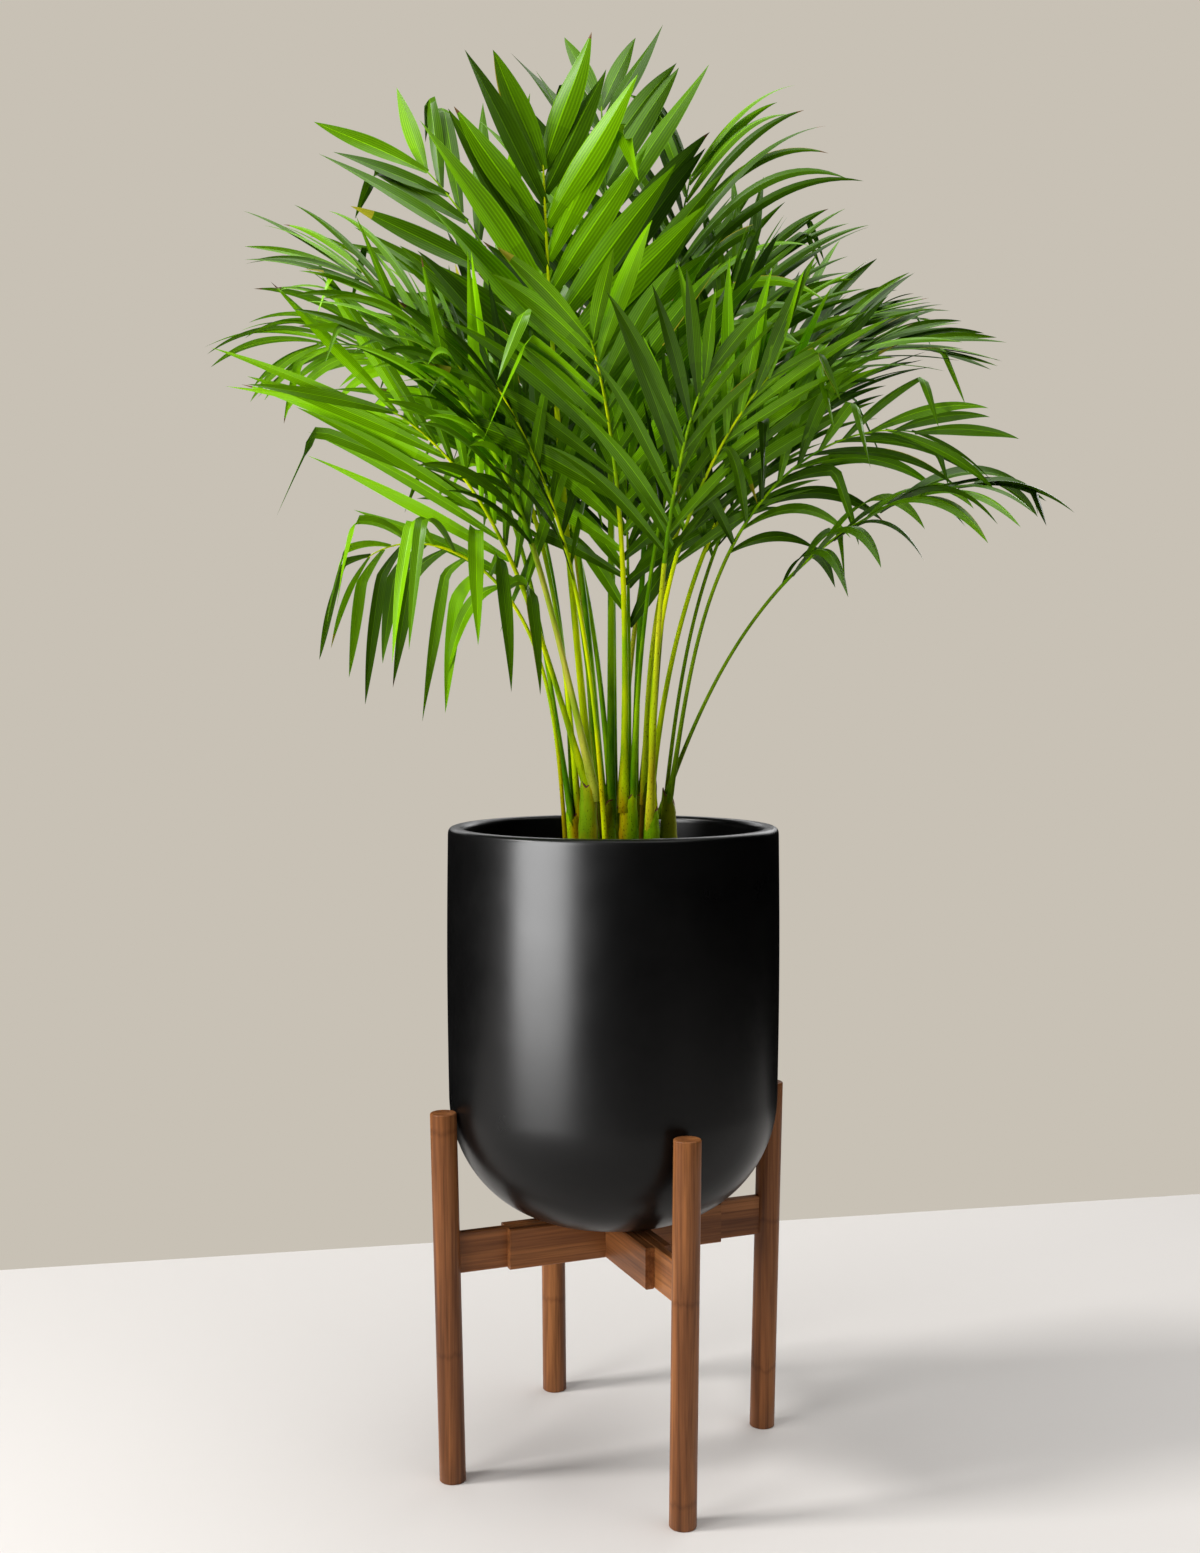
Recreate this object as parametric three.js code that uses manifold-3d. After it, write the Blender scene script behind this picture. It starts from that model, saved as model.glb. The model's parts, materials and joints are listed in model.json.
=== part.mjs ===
// A potted areca palm on a low crossed stand of four round legs, in millimetres with +Z up.
import * as THREE from "three";
import { mergeVertices } from "three/addons/utils/BufferGeometryUtils.js";
import ManifoldModule from "manifold-3d";

const wasm = await ManifoldModule();
wasm.setup();
const { Manifold, Mesh: SolidMesh } = wasm;

// Clearance between neighbouring pieces.
const GAP = 0.3;

// The pot: a straight side with a soft bulge, and a rounded underside with a flat foot.
const POT_RADIUS = 152.5;
const POT_BULGE = 1.2;
const POT_WALL = 15;
const RIM_TOP = 591;
const RIM_ROUND = 7;
const SIDE_FOOT = 344;
const POT_FOOT = 228;
const FOOT_FLAT = 42;
const SOIL_TOP = 548;
const ROUND_STEPS = 36;

// The stand: legs on a circle, leaning out a little, and two crossing beams of three planks.
const LEG_RADIUS = 12;
const LEG_HEIGHT = 337.8;
const LEG_CIRCLE = 157.3;
const LEG_SPLAY = 7.5;
const LEG_EDGE = 1.5;
const LEG_STEPS = 16;
const LEG_BELOW = 10;
const LEG_TURNS = { right: 22.4, back: 112.4, left: 202.4, front: 292.4 };
const PLANK_HEIGHT = 37;
const PLANK_THICK = 8.5;
const PLANK_EDGE = 1;
const PLANK_TOP = POT_FOOT - GAP;
const RAIL_HALF = 106;
const SLIDER_START = 52;
const TENON_DEPTH = 8;

// Petioles and ribs are three-sided and taper to the tip.
const PETIOLE_RADIUS = 3.5;
const TIP_RADIUS = 1.4;
const CANE_STEPS = 10;
const BLADE_THICK = 0.011;
const BLADE_LEAST = 1.7;
const LEAF_STEPS = 8;
const RIB_STEPS = 6;
const ROOT_SUNK = 0.3;
const ROOT_WIDE = 2.4;
const STRONG_DROOP = 0.9;
// The lowest and the last leaflets of a frond are shorter, and leaflets open less to its tip.
const LOW_SHORTER = 0.15;
const LOW_SHARE = 0.35;
const TIP_SHORTER = 0.38;
const OPEN_FOOT = 64;
const OPEN_FALL = 35;
// Details at the fused leaf roots that are smaller than this are smoothed over.
const FUSE_STEP = 0.2;
const TRIES = [0, 9, -9, 18, -18, 28];

// Canes stand in the soil. Each is [x, y, radius, top, seats, turn of the first seat].
// The last five are bare soil from which single petioles grow.
const CANES = [
  [-23, -14, 8, 640, 3, 65],
  [14, -20, 8, 630, 3, 210],
  [33, 4, 8, 636, 3, -50],
  [51, -8, 7, 622, 2, -70],
  [-6, 20, 7.5, 616, 2, 20],
  [22, 32, 7.5, 620, 3, -10],
  [-37, 9, 7.5, 612, 3, 100],
  [35, -25, 7, 610, 2, -110],
  [2, 47, 8, 606, 3, -20],
  [-41, -28, 0, SOIL_TOP, 1, 0],
  [-8, -2, 0, SOIL_TOP, 1, 0],
  [-5, -32, 0, SOIL_TOP, 1, 0],
  [42, 18, 0, SOIL_TOP, 1, 0],
  [-14, 42, 0, SOIL_TOP, 1, 0],
];
// Distance of a petiole from its cane's axis, by the number of petioles on the cane.
const SEAT_RADIUS = [0, 0, 3.9, 4.5];

// Fronds. Angles are degrees, lengths are millimetres, and bare is the share without leaflets.
// turn: heading from +X. lean: tilt at the foot. arch: further tilt at the tip, reached as
// share ** bend. roll: turn of the blade about the rib. droop: bending of leaflets to the ground.
// lift: angle of leaflets above the blade's plane. spread: how far leaflets open from the rib.
const FROND_KEYS = [
  "name", "cane", "seat", "turn", "lean", "arch", "bend", "length", "bare", "leaf", "width",
  "pairs", "roll", "droop", "lift", "spread",
];
const FRONDS = [
  ["front_centre", 1, 0, -104, -3, 60, 1.9, 416, 0.44, 190, 18, 11, -8, 0.45, 15, 0.85],
  ["crown_centre", 0, 0, 165, 6, -4, 1.8, 555, 0.5, 185, 24, 10, 68, 0.05, 12, 0.78],
  ["crown_back", 4, 0, 96, -1, 30, 2.4, 680, 0.55, 170, 20, 10, 0, 0.15, 14, 0.72],
  ["top_right", 5, 2, 50, 3, 16, 2.0, 600, 0.56, 190, 14, 8, -20, 1.1, 20, 0.8],
  ["upper_right", 2, 1, 35, 4, 28, 1.8, 510, 0.55, 160, 13, 10, -40, 0.6, 20, 0.7],
  ["right_high", 5, 0, 20, 5, 70, 2.6, 535, 0.55, 155, 13, 10, -40, 0.4, 20, 0.7],
  ["right_long", 2, 2, 6, 2, 90, 2.0, 525, 0.55, 150, 13, 11, -35, 0.5, 15, 0.7],
  ["right_low", 3, 1, -10, 21, 66, 1.7, 417, 0.53, 138, 14, 9, -10, 1.6, 22, 0.62],
  ["right_front", 3, 0, -20, 9, 95, 2.5, 435, 0.52, 142, 13, 10, 30, 0.9, 10, 0.75],
  ["right_inner", 2, 0, -30, 9, 43, 1.7, 390, 0.54, 165, 16, 9, 10, 0.4, 15, 0.6],
  ["front_right", 7, 1, -50, -4, 59, 1.3, 415, 0.54, 170, 17, 9, 30, 0.4, 15, 0.6],
  ["front_mid", 7, 0, -72, 6, 50, 2.4, 400, 0.56, 165, 17, 8, 0, 0.4, 15, 0.6],
  ["back_right", 5, 1, 70, 3, 30, 1.6, 550, 0.5, 170, 17, 9, 0, 0.4, 15, 0.7],
  ["left_long", 0, 1, 190, 17, 43, 2.9, 375, 0.47, 218, 14, 10, -65, 0.2, 0, 0.54],
  ["left_high", 6, 1, 172, 9, 84, 3.0, 535, 0.52, 165, 13, 10, -20, 1.2, 10, 0.75],
  ["left_back", 6, 0, 140, 3, 48, 1.8, 495, 0.5, 165, 14, 10, 45, 0.4, 10, 0.7],
  ["left_low", 9, 0, 186, 4, 122, 3.0, 405, 0.66, 172, 13, 8, -30, 2.4, 0, 1.25],
  ["top_left", 4, 1, 156, 5, 40, 2.2, 645, 0.52, 185, 17, 10, 60, 0.15, 5, 0.72],
  ["upper_left", 6, 2, 196, 5, 60, 2.2, 540, 0.5, 170, 12, 10, 35, 0.7, 5, 0.75],
  ["back_upright", 8, 1, 92, 6, 66, 1.9, 560, 0.48, 165, 16, 9, 0, 0.5, 15, 0.7],
  ["back_arching", 8, 0, 62, 8, 88, 2.2, 530, 0.5, 155, 15, 9, 15, 0.5, 15, 0.75],
  ["back_left", 8, 2, 122, 9, 84, 2.1, 550, 0.5, 155, 15, 9, -15, 0.5, 15, 0.75],
  ["front_left", 0, 2, -160, 14, 48, 3.2, 430, 0.5, 160, 12, 10, 45, 0.5, 5, 0.7],
  ["inner_right", 1, 1, -30, 3, 30, 1.8, 430, 0.55, 150, 16, 8, -20, 0.4, 20, 0.55],
  ["young", 1, 2, -100, -2, 14, 1.5, 290, 0.5, 110, 18, 5, 0, 0.3, 10, 0.55],
  ["inner_left", 10, 0, 158, 4, 30, 2.0, 540, 0.6, 150, 12, 7, 30, 0.4, 15, 0.6],
  ["inner_front", 11, 0, 200, 4, 30, 2.2, 450, 0.6, 140, 13, 7, 50, 0.4, 15, 0.6],
  ["outer_right", 12, 0, 15, 6, 50, 2.4, 500, 0.6, 145, 12, 7, -30, 0.5, 15, 0.65],
  ["inner_back", 13, 0, 120, 5, 40, 2.2, 540, 0.6, 150, 14, 7, 0, 0.5, 15, 0.65],
];

const UP = new THREE.Vector3(0, 0, 1);
const radians = THREE.MathUtils.degToRad;

// A closed three.js geometry as a solid for joining and cutting.
function solidFrom(geometry) {
  const bare = new THREE.BufferGeometry();
  const source = geometry.index ? geometry.toNonIndexed() : geometry;
  bare.setAttribute("position", source.getAttribute("position").clone());
  const welded = mergeVertices(bare, 1e-4);
  const corners = welded.index.array;
  const kept = [];
  for (let i = 0; i < corners.length; i += 3) {
    const [a, b, c] = [corners[i], corners[i + 1], corners[i + 2]];
    if (a !== b && b !== c && c !== a) kept.push(a, b, c);
  }
  return new Manifold(
    new SolidMesh({
      numProp: 3,
      vertProperties: new Float32Array(welded.attributes.position.array),
      triVerts: new Uint32Array(kept),
    }),
  );
}

// A solid as a three.js geometry with flat faces.
function geometryFrom(solid) {
  const mesh = solid.getMesh();
  const geometry = new THREE.BufferGeometry();
  const places = new Float32Array(mesh.numVert * 3);
  for (let i = 0; i < mesh.numVert; i++) {
    for (let k = 0; k < 3; k++) places[i * 3 + k] = mesh.vertProperties[i * mesh.numProp + k];
  }
  geometry.setAttribute("position", new THREE.BufferAttribute(places, 3));
  geometry.setIndex(new THREE.BufferAttribute(new Uint32Array(mesh.triVerts), 1));
  const flat = geometry.toNonIndexed();
  flat.computeVertexNormals();
  return flat;
}

// The largest body of a solid, without its scraps and sealed hollows.
function mainBody(solid) {
  const bodies = solid.decompose();
  return bodies.reduce((best, body) => (body.volume() > best.volume() ? body : best));
}

// Radius of the pot's outer side at a height, drawn in by an offset.
function potRadius(height, offset) {
  const reach = POT_RADIUS - offset;
  if (height >= SIDE_FOOT) {
    const share = (height - SIDE_FOOT) / (RIM_TOP - SIDE_FOOT);
    return reach + POT_BULGE * Math.sin(Math.PI * share);
  }
  const depth = SIDE_FOOT - POT_FOOT - offset;
  const share = Math.min(1, (SIDE_FOOT - height) / depth);
  return FOOT_FLAT + (reach - FOOT_FLAT) * Math.sqrt(1 - share * share);
}

// Profile points of the pot's side from the foot up to a height, at an offset inside the outer face.
function sideProfile(offset, top, steps) {
  const foot = POT_FOOT + offset;
  const points = [new THREE.Vector2(0, foot)];
  for (let i = 0; i <= steps; i++) {
    const fall = (Math.PI / 2) * (1 - i / steps);
    const height = SIDE_FOOT - (SIDE_FOOT - foot) * Math.sin(fall);
    points.push(new THREE.Vector2(potRadius(height, offset), height));
  }
  for (let i = 1; i <= 4; i++) {
    const height = SIDE_FOOT + ((top - SIDE_FOOT) * i) / 4;
    points.push(new THREE.Vector2(potRadius(height, offset), height));
  }
  return points;
}

// A profile of (radius, height) points turned about the vertical axis.
function turned(points) {
  const geometry = new THREE.LatheGeometry(points, ROUND_STEPS);
  geometry.rotateX(Math.PI / 2);
  return solidFrom(geometry);
}

// The hollow pot with a rounded rim.
function potSolid() {
  const outside = sideProfile(0, RIM_TOP - RIM_ROUND, 8);
  const inside = sideProfile(POT_WALL, RIM_TOP - RIM_ROUND, 5).reverse();
  const rim = [];
  const middle = POT_RADIUS - POT_WALL / 2;
  for (let i = 1; i < 5; i++) {
    const turn = (Math.PI * i) / 5;
    rim.push(
      new THREE.Vector2(
        middle + (POT_WALL / 2) * Math.cos(turn),
        RIM_TOP - RIM_ROUND + RIM_ROUND * Math.sin(turn),
      ),
    );
  }
  return turned([...outside, ...rim, ...inside]);
}

// The soil that fills the pot.
function soilSolid() {
  const points = sideProfile(POT_WALL + GAP, SOIL_TOP, 5);
  points.push(new THREE.Vector2(0, SOIL_TOP));
  return turned(points);
}

// A box given by its corners, turned about the vertical axis.
function turnedBox(low, high, turn) {
  const geometry = new THREE.BoxGeometry(high[0] - low[0], high[1] - low[1], high[2] - low[2]);
  geometry.translate((low[0] + high[0]) / 2, (low[1] + high[1]) / 2, (low[2] + high[2]) / 2);
  geometry.rotateZ(radians(turn));
  return solidFrom(geometry);
}

// A plank lying along +X with its long edges eased, turned about the vertical axis.
function plankSolid(from, to, side, turn) {
  const half = PLANK_THICK / 2;
  const low = PLANK_TOP - PLANK_HEIGHT;
  const shape = new THREE.Shape();
  shape.moveTo(side - half + PLANK_EDGE, low);
  shape.lineTo(side + half - PLANK_EDGE, low);
  shape.lineTo(side + half, low + PLANK_EDGE);
  shape.lineTo(side + half, PLANK_TOP - PLANK_EDGE);
  shape.lineTo(side + half - PLANK_EDGE, PLANK_TOP);
  shape.lineTo(side - half + PLANK_EDGE, PLANK_TOP);
  shape.lineTo(side - half, PLANK_TOP - PLANK_EDGE);
  shape.lineTo(side - half, low + PLANK_EDGE);
  const geometry = new THREE.ExtrudeGeometry(shape, { depth: to - from, bevelEnabled: false });
  geometry.translate(0, 0, from);
  geometry.applyMatrix4(
    new THREE.Matrix4().makeBasis(
      new THREE.Vector3(0, 1, 0),
      new THREE.Vector3(0, 0, 1),
      new THREE.Vector3(1, 0, 0),
    ),
  );
  geometry.rotateZ(radians(turn));
  return solidFrom(geometry);
}

// Outer planks of both beams lie this far to the side of the slider between them.
const RAIL_SIDE = PLANK_THICK + GAP;

// One outer plank. The planks of the two beams are let into each other where they cross.
function railSolid(turn, side, cutFromTop) {
  const middle = PLANK_TOP - PLANK_HEIGHT / 2;
  const half = PLANK_THICK / 2 + GAP;
  const low = cutFromTop ? middle - GAP / 2 : PLANK_TOP - PLANK_HEIGHT - 1;
  const high = cutFromTop ? PLANK_TOP + 1 : middle + GAP / 2;
  let rail = plankSolid(-RAIL_HALF, RAIL_HALF, side, turn);
  for (const across of [-RAIL_SIDE, RAIL_SIDE]) {
    const notch = turnedBox([across - half, side - 20, low], [across + half, side + 20, high], turn);
    rail = rail.subtract(notch);
  }
  return rail;
}

// How far a slider reaches from the stand's axis: into its leg by the tenon's depth.
function sliderEnd() {
  const lean = (LEG_SPLAY * (PLANK_TOP - PLANK_HEIGHT)) / LEG_HEIGHT;
  return LEG_CIRCLE + lean - LEG_RADIUS + TENON_DEPTH;
}

// One leg: a round post with an eased top, leaning out, cut flat at the floor, with a socket.
function legSolid(turn) {
  const profile = [
    new THREE.Vector2(0, -LEG_BELOW),
    new THREE.Vector2(LEG_RADIUS, -LEG_BELOW),
    new THREE.Vector2(LEG_RADIUS, LEG_HEIGHT - LEG_EDGE),
    new THREE.Vector2(LEG_RADIUS - LEG_EDGE, LEG_HEIGHT),
    new THREE.Vector2(0, LEG_HEIGHT),
  ];
  const geometry = new THREE.LatheGeometry(profile, LEG_STEPS);
  geometry.rotateX(Math.PI / 2);
  geometry.rotateY(Math.atan2(LEG_SPLAY, LEG_HEIGHT));
  geometry.translate(LEG_CIRCLE, 0, 0);
  geometry.rotateZ(radians(turn));
  const reach = LEG_CIRCLE + LEG_RADIUS * 2;
  const floor = turnedBox([0, -reach, -2 * LEG_BELOW], [reach, reach, 0], turn);
  const side = PLANK_THICK / 2 + GAP;
  const socket = turnedBox(
    [LEG_CIRCLE - LEG_RADIUS - 5, -side, PLANK_TOP - PLANK_HEIGHT - GAP],
    [sliderEnd() + GAP, side, PLANK_TOP + GAP],
    turn,
  );
  return solidFrom(geometry).subtract(floor).subtract(socket);
}

// The plank that slides between two rails and ends in a leg.
function sliderSolid(turn) {
  return plankSolid(SLIDER_START, sliderEnd(), 0, turn);
}

// A cane: a round stem that narrows to its top, with a flat top on which petioles stand.
function caneSolid([x, y, radius, top]) {
  const low = SOIL_TOP + GAP;
  const geometry = new THREE.CylinderGeometry(radius, radius + 2, top - low, CANE_STEPS);
  geometry.rotateX(Math.PI / 2);
  geometry.translate(x, y, (top + low) / 2);
  return solidFrom(geometry);
}

// Repeatable chance values from 0 to 1 for a leaflet.
function chances(seed) {
  let state = seed;
  const values = [];
  for (let i = 0; i < 6; i++) {
    state = (state * 1664525 + 1013904223) % 4294967296;
    values.push(state / 4294967296);
  }
  return values.slice(2);
}

// Foot of a frond: the top of its cane, or the soil.
function frondFoot(frond) {
  const [x, y, , top, seats, first] = CANES[frond.cane];
  const turn = radians(first + (360 * frond.seat) / seats);
  const out = SEAT_RADIUS[seats] ?? 0;
  return new THREE.Vector3(x + out * Math.cos(turn), y + out * Math.sin(turn), top + GAP);
}

// Stations along a rib, each with its place, heading, blade normal and sideways direction.
function ribStations(frond) {
  const spans = 3 + Math.round(Math.abs(frond.arch) / 24);
  const shares = [0, frond.bare / 2];
  for (let i = 0; i <= spans; i++) shares.push(frond.bare + ((1 - frond.bare) * i) / spans);
  const turn = radians(frond.turn);
  const heading = (share) => {
    const tilt = radians(frond.lean + frond.arch * share ** frond.bend);
    const flat = Math.sin(tilt);
    return new THREE.Vector3(flat * Math.cos(turn), flat * Math.sin(turn), Math.cos(tilt));
  };
  const sideways = new THREE.Vector3(Math.sin(turn), -Math.cos(turn), 0);
  const place = frondFoot(frond);
  return shares.map((share, i) => {
    const from = shares[Math.max(0, i - 1)];
    const step = (share - from) / RIB_STEPS;
    for (let k = 0; k < RIB_STEPS; k++) {
      place.addScaledVector(heading(from + step * (k + 0.5)), step * frond.length);
    }
    const along = heading(share);
    const roll = radians(frond.roll) * Math.min(1, share / frond.bare) ** 2;
    const side = sideways.clone().applyAxisAngle(along, -roll);
    const normal = new THREE.Vector3().crossVectors(side, along);
    return { share, place: place.clone(), along, normal, side };
  });
}

// Place and directions at a share of a rib's length.
function ribAt(stations, share) {
  const next = Math.max(1, stations.findIndex((station) => station.share >= share - 1e-9));
  const [before, after] = [stations[next - 1], stations[next]];
  const mixed = (share - before.share) / (after.share - before.share);
  const mix = (key) => before[key].clone().lerp(after[key], mixed);
  return {
    place: mix("place"),
    along: mix("along").normalize(),
    normal: mix("normal").normalize(),
    side: mix("side").normalize(),
  };
}

// A closed solid from corners and faces, turned outside out if it has to be.
function closedSolid(places, faces) {
  const geometry = new THREE.BufferGeometry().setFromPoints(places);
  geometry.setIndex(faces.flat());
  const solid = solidFrom(geometry);
  if (solid.volume() > 0) return solid;
  geometry.setIndex(faces.map(([a, b, c]) => [a, c, b]).flat());
  return solidFrom(geometry);
}

// Faces between two rings of three corners that start at these numbers.
function bandFaces(first, second) {
  const faces = [];
  for (let k = 0; k < 3; k++) {
    const next = (k + 1) % 3;
    faces.push([first + k, first + next, second + next], [first + k, second + next, second + k]);
  }
  return faces;
}

// The rib of a frond with its petiole, from the foot to the tip.
function ribSolid(stations) {
  const places = [];
  const faces = [[0, 2, 1]];
  stations.forEach(({ share, place, normal, side }, i) => {
    const radius = PETIOLE_RADIUS + (TIP_RADIUS - PETIOLE_RADIUS) * share;
    for (const turn of [90, 210, 330]) {
      const corner = place.clone();
      corner.addScaledVector(side, radius * Math.cos(radians(turn)));
      corner.addScaledVector(normal, radius * Math.sin(radians(turn)));
      if (share === 0) corner.z = place.z;
      places.push(corner);
    }
    if (i > 0) faces.push(...bandFaces(i * 3 - 3, i * 3));
  });
  const last = places.length - 3;
  faces.push([last, last + 1, last + 2]);
  return closedSolid(places, faces);
}

// Where a leaflet grows and how it runs, with a further lift for finding free space.
function leafletRun(frond, number, stations, pair, hand, further) {
  const share = pair / (frond.pairs - 1);
  const later = hand > 0 ? 0.4 / frond.pairs : 0;
  const spot = Math.min(1, frond.bare + (1 - frond.bare) * (0.985 * share + later));
  const chance = chances(number * 1000 + pair * 20 + hand + 1);
  const low = LOW_SHORTER * (1 - Math.min(1, share / LOW_SHARE));
  const high = TIP_SHORTER * Math.max(0, (share - 0.5) / 0.5) ** 1.5;
  const size = 1 - low - high;
  const length = frond.leaf * size * (0.86 + 0.28 * chance[0]);
  const opening = (OPEN_FOOT - OPEN_FALL * share ** 1.2) * frond.spread;
  const open = radians(opening + 12 * (chance[1] - 0.5));
  const lift = radians(frond.lift * (1 - 0.4 * share) + 20 * (chance[2] - 0.5) + further);
  const droop = 1.1 * frond.droop * (0.9 + 0.4 * chance[3] - 0.5 * share);
  const rib = ribAt(stations, spot);
  const outward = rib.side.clone().multiplyScalar(hand * Math.cos(lift));
  outward.addScaledVector(rib.normal, Math.sin(lift));
  const heading = rib.along.clone().multiplyScalar(Math.cos(open));
  heading.addScaledVector(outward, Math.sin(open));
  const across = rib.along.clone();
  across.addScaledVector(heading, -rib.along.dot(heading)).normalize();
  const places = [rib.place.clone()];
  for (let i = 0; i < LEAF_STEPS; i++) {
    const way = heading.clone();
    way.addScaledVector(UP, -droop * ((i + 0.5) / LEAF_STEPS) ** 1.4).normalize();
    places.push(places[i].clone().addScaledVector(way, length / LEAF_STEPS));
  }
  return { places, across, length, width: frond.width * (0.7 + 0.3 * size) };
}

// The blade of a leaflet: flat above, with a keel below, and its root edge sunk in the rib.
function bladeSolid({ places, across, length, width }, droop) {
  const thick = Math.max(BLADE_LEAST, BLADE_THICK * length);
  const inward = places[0].clone().sub(places[1]).setLength(ROOT_SUNK).add(places[0]);
  const corners = [
    inward.clone().addScaledVector(across, ROOT_WIDE / 2),
    inward.clone().addScaledVector(across, -ROOT_WIDE / 2),
  ];
  const faces = [[0, 1, 3], [0, 3, 2], [0, 4, 1], [0, 2, 4], [1, 4, 3]];
  const stops = droop > STRONG_DROOP ? [[2, 1], [5, 0.86]] : [[3, 1]];
  stops.forEach(([at, share], i) => {
    const way = places[at + 1].clone().sub(places[at - 1]).normalize();
    const below = new THREE.Vector3().crossVectors(across, way).normalize();
    const above = places[at].clone().addScaledVector(below, -thick * 0.4);
    corners.push(above.clone().addScaledVector(across, (width * share) / 2));
    corners.push(above.clone().addScaledVector(across, (-width * share) / 2));
    corners.push(places[at].clone().addScaledVector(below, thick * 0.6));
    if (i > 0) faces.push(...bandFaces(i * 3 - 1, i * 3 + 2));
  });
  const last = corners.length - 3;
  const end = corners.length;
  corners.push(places[LEAF_STEPS]);
  faces.push([last, last + 1, end], [last + 1, last + 2, end], [last + 2, last, end]);
  return closedSolid(corners, faces);
}

// Whether two solids come closer than the clearance.
function tooClose(one, other) {
  for (let k = 0; k < 3; k++) {
    if (one.box.min[k] > other.box.max[k] + GAP) return false;
    if (one.box.max[k] < other.box.min[k] - GAP) return false;
  }
  return one.solid.minGap(other.solid, 1) < GAP;
}

const boxed = (solid) => ({ solid, box: solid.boundingBox() });

// All fronds, grown one after another so that their leaflets stay apart.
function growFronds() {
  const fronds = FRONDS.map((row) => Object.fromEntries(FROND_KEYS.map((key, i) => [key, row[i]])));
  const stations = fronds.map(ribStations);
  const limbs = stations.map((steps) => {
    const parts = [];
    for (let i = 0; i + 1 < steps.length; i++) parts.push(boxed(ribSolid(steps.slice(i, i + 2))));
    return parts;
  });
  const blades = fronds.map(() => []);
  fronds.forEach((frond, number) => {
    const others = limbs.filter((_, i) => i !== number).flat();
    const grown = blades.filter((_, i) => i !== number).flat();
    for (let pair = 0; pair < frond.pairs; pair++) {
      for (const hand of [-1, 1]) {
        for (const further of TRIES) {
          const run = leafletRun(frond, number + 1, stations[number], pair, hand, further);
          const blade = boxed(bladeSolid(run, frond.droop));
          if (others.some((limb) => tooClose(blade, limb))) continue;
          if (grown.some((leaf) => tooClose(blade, leaf))) continue;
          blades[number].push(blade);
          break;
        }
      }
    }
  });
  return fronds.map((frond, i) => {
    const joined = Manifold.union([ribSolid(stations[i]), ...blades[i].map((leaf) => leaf.solid)]);
    return [frond.name, mainBody(joined.simplify(FUSE_STEP))];
  });
}

// The finished object: each piece is a named mesh with its own material.
const part = new THREE.Group();
part.name = "potted_areca_palm";

function addPiece(name, solid, color, roughness) {
  const material = new THREE.MeshStandardMaterial({ color, roughness, metalness: 0 });
  const mesh = new THREE.Mesh(geometryFrom(solid), material);
  mesh.name = name;
  part.add(mesh);
}

const POT_COLOR = 0x0b0b0c;
const SOIL_COLOR = 0x2a1c12;
const WOOD_COLOR = 0x5a3018;
const CANE_COLOR = 0x8a9a2c;
const LEAF_COLORS = [0x3f7a1a, 0x4f8f1e, 0x356c1c];

addPiece("pot", potSolid(), POT_COLOR, 0.4);
addPiece("soil", soilSolid(), SOIL_COLOR, 1);
for (const [name, turn] of Object.entries(LEG_TURNS)) {
  addPiece(`leg_${name}`, legSolid(turn), WOOD_COLOR, 0.5);
  addPiece(`slider_${name}`, sliderSolid(turn), WOOD_COLOR, 0.5);
}
for (const [beam, turn] of [["long", LEG_TURNS.right], ["cross", LEG_TURNS.back]]) {
  for (const [label, side] of [["near", -RAIL_SIDE], ["far", RAIL_SIDE]]) {
    addPiece(`rail_${beam}_${label}`, railSolid(turn, side, beam === "long"), WOOD_COLOR, 0.5);
  }
}
CANES.forEach((cane, i) => {
  if (cane[2] > 0) addPiece(`cane_${i + 1}`, caneSolid(cane), CANE_COLOR, 0.5);
});
growFronds().forEach(([name, solid], i) => {
  addPiece(`frond_${name}`, solid, LEAF_COLORS[i % LEAF_COLORS.length], 0.45);
});

// The origin is under the middle of the whole object, at the floor.
const whole = new THREE.Box3().setFromObject(part);
const centre = whole.getCenter(new THREE.Vector3());
for (const mesh of part.children) mesh.geometry.translate(-centre.x, -centre.y, 0);

export default part;
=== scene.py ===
"""Looks of a potted areca palm on a crossed stand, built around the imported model."""

import json
import math
import random

import bpy
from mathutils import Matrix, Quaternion, Vector, noise

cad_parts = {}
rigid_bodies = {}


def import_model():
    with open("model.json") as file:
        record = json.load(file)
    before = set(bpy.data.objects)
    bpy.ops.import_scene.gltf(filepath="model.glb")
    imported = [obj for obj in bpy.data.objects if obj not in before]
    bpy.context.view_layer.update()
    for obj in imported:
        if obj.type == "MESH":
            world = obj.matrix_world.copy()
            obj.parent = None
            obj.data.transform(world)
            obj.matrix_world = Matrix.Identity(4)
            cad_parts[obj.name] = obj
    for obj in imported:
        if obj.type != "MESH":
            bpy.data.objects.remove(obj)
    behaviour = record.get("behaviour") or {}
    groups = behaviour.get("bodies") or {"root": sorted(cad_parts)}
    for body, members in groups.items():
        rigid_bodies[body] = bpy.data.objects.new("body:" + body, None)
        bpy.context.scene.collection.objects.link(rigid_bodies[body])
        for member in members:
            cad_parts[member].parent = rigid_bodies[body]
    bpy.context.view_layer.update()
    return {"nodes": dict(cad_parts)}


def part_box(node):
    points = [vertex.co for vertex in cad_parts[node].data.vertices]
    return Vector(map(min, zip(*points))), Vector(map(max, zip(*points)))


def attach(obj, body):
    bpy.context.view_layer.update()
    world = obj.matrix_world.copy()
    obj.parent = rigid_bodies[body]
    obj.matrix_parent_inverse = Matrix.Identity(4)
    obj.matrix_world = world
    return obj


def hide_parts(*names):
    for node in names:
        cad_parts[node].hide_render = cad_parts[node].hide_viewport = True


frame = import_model()

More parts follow.
